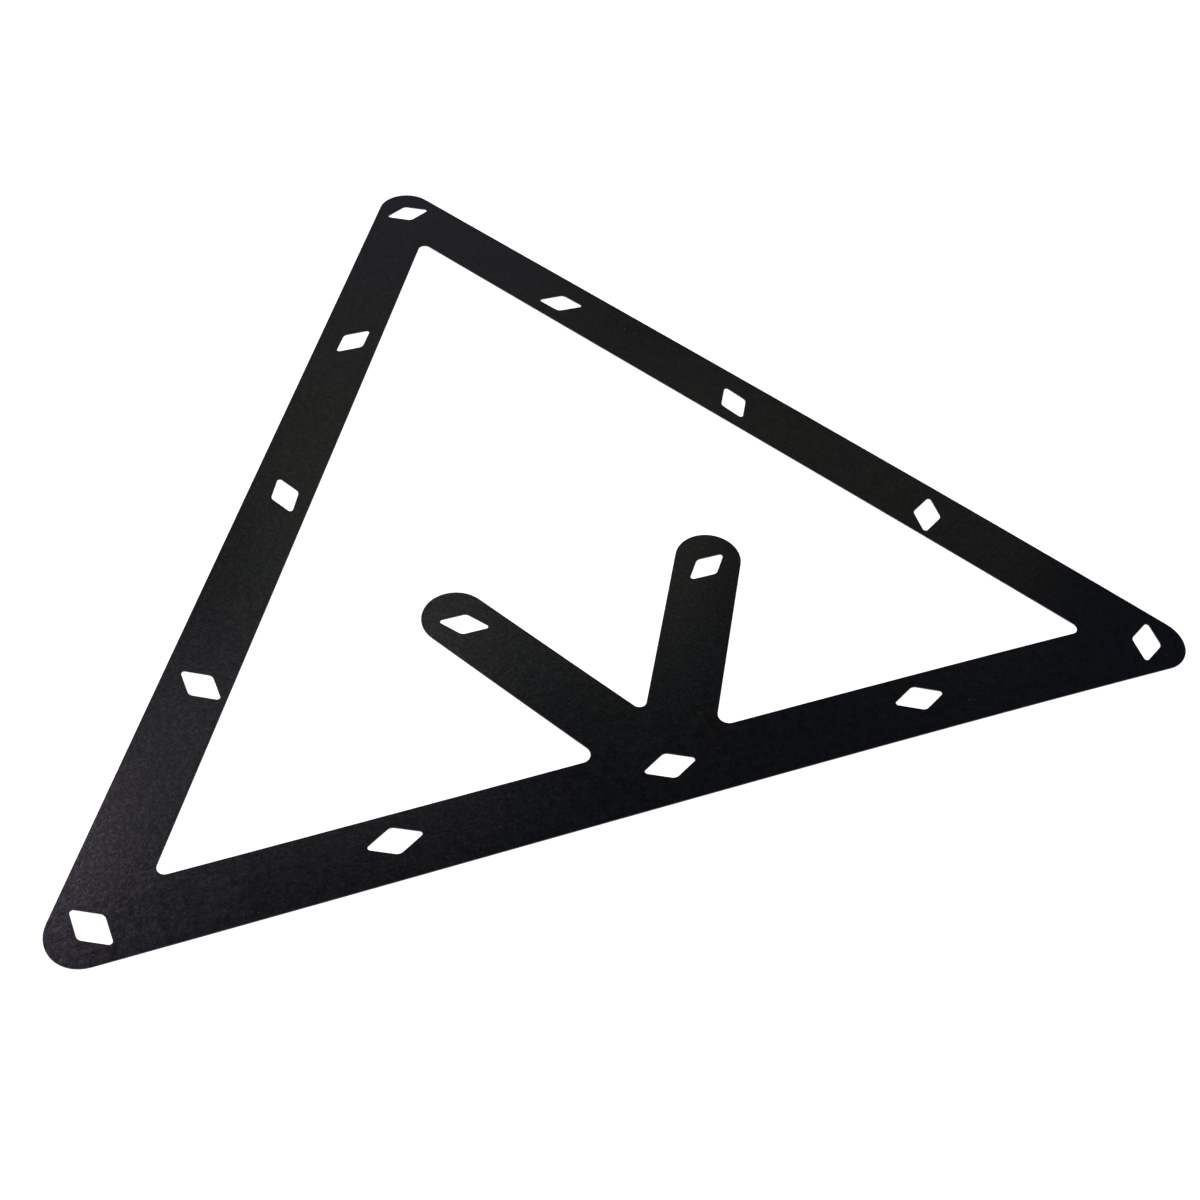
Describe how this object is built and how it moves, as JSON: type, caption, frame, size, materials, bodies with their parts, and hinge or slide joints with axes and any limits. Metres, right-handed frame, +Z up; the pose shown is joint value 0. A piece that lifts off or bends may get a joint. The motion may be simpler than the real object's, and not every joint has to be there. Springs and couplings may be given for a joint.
{
  "type": "ball racking template",
  "caption": "Thin die-cut triangular sheet with two inner arms and rhombic holes, laid on the cloth to seat touching pool balls in a tight rack.",
  "frame": {"origin": "middle of the outline's box, on the underside that lies on the cloth", "axes": "+X along the base strip, +Y from the base strip towards the apex, +Z up through the sheet"},
  "size_m": [0.2456, 0.2148, 0.0003],
  "materials": {
    "black_film": "black film with a low satin sheen, finely hazed and pitted"
  },
  "bodies": {
    "root": {"rack_sheet": "black_film"}
  },
  "joints": []
}
